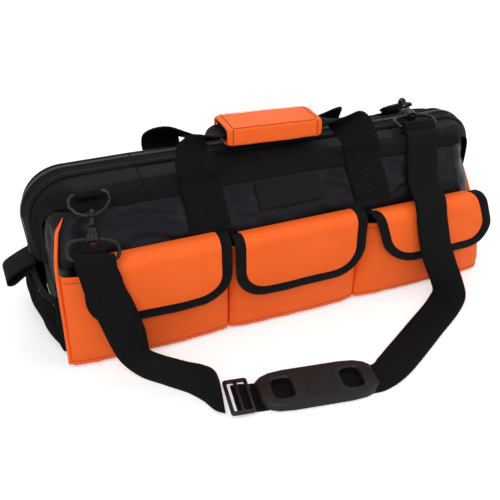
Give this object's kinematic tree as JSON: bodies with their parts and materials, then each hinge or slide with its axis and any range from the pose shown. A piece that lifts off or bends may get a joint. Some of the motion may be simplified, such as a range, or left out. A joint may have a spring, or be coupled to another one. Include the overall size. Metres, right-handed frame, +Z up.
{
  "type": "zippered tool bag",
  "caption": "Soft zippered tool bag with front flap pockets, end mesh pocket, padded grip handles and a swivel-hooked shoulder strap.",
  "frame": {"origin": "centre of the underside of the bag's base", "axes": "+X along the bag's length, front pockets face -Y, +Z up"},
  "size_m": [0.6854, 0.4, 0.2599],
  "materials": {
    "black_fabric": "matt woven nylon",
    "black_webbing": "ribbed webbing",
    "black_binding": "ribbed tape",
    "orange_fabric": "coated woven nylon",
    "orange_piping": "round piping",
    "black_mesh": "open net",
    "zip_coil": "nylon coil on woven tape",
    "zip_metal": "black lacquer",
    "black_plastic": "moulded, fine grain",
    "pad_rubber": "moulded, ribbed",
    "board": "stiff board",
    "steel_strip": "spring strip"
  },
  "bodies": {
    "bag": {"body_shell": "black_fabric", "base_panel": "board", "base_board": "board", "pocket_left": "orange_fabric", "pocket_middle": "orange_fabric", "pocket_right": "orange_fabric", "piping_left": "orange_piping", "piping_right": "orange_piping", "end_pocket_mesh": "black_mesh", "mouth_end_left": "black_fabric", "mouth_end_right": "black_fabric", "zip_end_left": "zip_coil", "zip_end_right": "zip_coil", "end_loop": "black_webbing", "handle_leg_front_left": "black_webbing", "handle_leg_front_right": "black_webbing", "handle_leg_back_left": "black_webbing", "handle_leg_back_right": "black_webbing", "label_patch": "black_fabric", "dring_left": "black_plastic", "dring_right": "black_plastic", "dring_tab_left": "black_webbing", "dring_tab_right": "black_webbing"},
    "mouth_front": {"mouth_band_front": "black_fabric", "zip_front": "zip_coil", "stiffener_front": "steel_strip", "handle_front": "black_webbing", "handle_wrap": "orange_fabric"},
    "mouth_back": {"mouth_band_back": "black_fabric", "zip_back": "zip_coil", "stiffener_back": "steel_strip", "handle_back": "black_webbing"},
    "flap_left": {"flap_left_cloth": "orange_fabric", "flap_left_binding": "black_binding"},
    "flap_middle": {"flap_middle_cloth": "orange_fabric", "flap_middle_binding": "black_binding"},
    "flap_right": {"flap_right_cloth": "orange_fabric", "flap_right_binding": "black_binding"},
    "slider": {"zip_slider": "zip_metal"},
    "pull": {"zip_pull": "zip_metal"},
    "shoulder_strap": {"strap_left": "black_webbing", "strap_right": "black_webbing", "hook_loop_left": "black_plastic", "hook_loop_right": "black_plastic"},
    "hook_left": {"hook_head_left": "black_plastic"},
    "hook_right": {"hook_head_right": "black_plastic"},
    "gate_left": {"hook_gate_left": "black_plastic"},
    "gate_right": {"hook_gate_right": "black_plastic"},
    "pad": {"shoulder_pad": "pad_rubber"},
    "adjuster": {"strap_adjuster": "black_plastic"}
  },
  "joints": [
    {"name": "mouth_front_open", "type": "hinge", "parent": "bag", "child": "mouth_front", "pos_m": [0, -0.0628, 0.2012], "axis": [1, 0, 0], "range_deg": [0, 90]},
    {"name": "mouth_back_open", "type": "hinge", "parent": "bag", "child": "mouth_back", "pos_m": [0, 0.0628, 0.1872], "axis": [1, 0, 0], "range_deg": [-90, 0]},
    {"name": "flap_left_lift", "type": "hinge", "parent": "bag", "child": "flap_left", "pos_m": [-0.1855, -0.1045, 0.153], "axis": [-1, 0, 0], "range_deg": [0, 22]},
    {"name": "flap_middle_lift", "type": "hinge", "parent": "bag", "child": "flap_middle", "pos_m": [0, -0.1058, 0.147], "axis": [-1, 0, 0], "range_deg": [0, 80]},
    {"name": "flap_right_lift", "type": "hinge", "parent": "bag", "child": "flap_right", "pos_m": [0.1855, -0.107, 0.139], "axis": [-1, 0, 0], "range_deg": [0, 75]},
    {"name": "zip_slide", "type": "slide", "parent": "bag", "child": "slider", "axis": [0.073, 0, 0.9973], "range_m": [0, 0.03]},
    {"name": "zip_pull_swing", "type": "hinge", "parent": "slider", "child": "pull", "pos_m": [0.3276, 0, 0.1225], "axis": [0, -1, 0], "range_deg": [-4, 100]},
    {"name": "strap_swing", "type": "hinge", "parent": "bag", "child": "shoulder_strap", "pos_m": [-0.25, -0.087, 0.197], "axis": [-0.9762, -0.2092, -0.0572], "range_deg": [0, 90], "deforming": ["strap_left", "strap_right"]},
    {"name": "hook_left_swivel", "type": "hinge", "parent": "shoulder_strap", "child": "hook_left", "pos_m": [-0.25481, -0.10783, 0.18202], "axis": [0.1842, 0.798, 0.5737], "range_deg": [-10, 10]},
    {"name": "hook_right_swivel", "type": "hinge", "parent": "shoulder_strap", "child": "hook_right", "pos_m": [0.21539, -0.01229, 0.21996], "axis": [0.1, 0.9803, 0.1701], "range_deg": [-10, 10]},
    {"name": "gate_left_press", "type": "hinge", "parent": "hook_left", "child": "gate_left", "pos_m": [-0.25278, -0.10232, 0.19288], "axis": [0.9829, -0.1496, -0.1075], "range_deg": [-14, 0], "stiffness_Nm_per_rad": 0.01},
    {"name": "gate_right_press", "type": "hinge", "parent": "hook_right", "child": "gate_right", "pos_m": [0.21649, -0.00246, 0.22735], "axis": [0.995, -0.0986, -0.0171], "range_deg": [-14, 0], "stiffness_Nm_per_rad": 0.01},
    {"name": "pad_slide", "type": "slide", "parent": "shoulder_strap", "child": "pad", "axis": [0.9881, -0.154, 0], "range_m": [0, 0.01]},
    {"name": "adjuster_slide", "type": "slide", "parent": "shoulder_strap", "child": "adjuster", "axis": [0.9881, -0.154, 0], "range_m": [0, 0.006]}
  ],
  "couplings": [
    {"joint": "mouth_back_open", "follows": "mouth_front_open", "ratio": -1}
  ]
}
